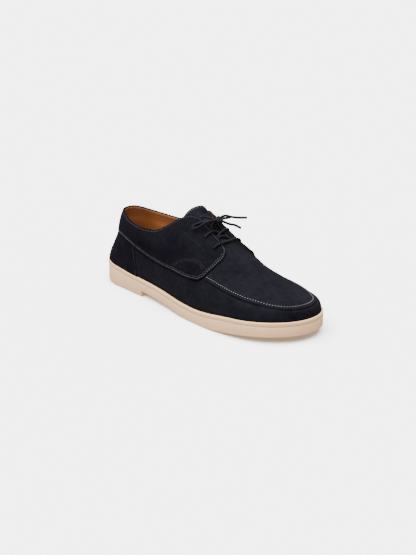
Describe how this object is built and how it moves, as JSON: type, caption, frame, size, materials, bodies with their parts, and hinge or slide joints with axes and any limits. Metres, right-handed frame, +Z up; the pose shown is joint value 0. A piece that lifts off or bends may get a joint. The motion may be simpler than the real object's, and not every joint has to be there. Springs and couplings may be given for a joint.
{
  "type": "lace-up derby shoe",
  "caption": "Low lace-up moc-toe derby shoe for the right foot: hollow suede upper with tongue and tied laces, leather insole and a rubber unit sole with a low heel.",
  "frame": {"origin": "on the floor, under the middle of the shoe's bounding box", "axes": "+X from heel to toe, +Y towards the medial side, +Z up"},
  "size_m": [0.3, 0.1022, 0.1098],
  "materials": {
    "suede": "dark navy suede, napped and matt",
    "rubber": "cream moulded rubber, satin",
    "lining": "smooth cognac lining leather",
    "lace": "round braided cotton lace, dark navy"
  },
  "bodies": {
    "root": {"upper": "suede", "quarter_lateral": "suede", "quarter_medial": "suede", "heel_counter": "suede", "moc_seam": "suede", "tongue": "suede", "sole": "rubber", "insole": "lining", "lace_bar": "lace", "lace_crossing": "lace", "lace_under": "lace", "lace_yoke": "lace", "lace_knot": "lace", "lace_loop": "lace", "lace_end_long": "lace", "lace_end_short": "lace"}
  },
  "joints": []
}
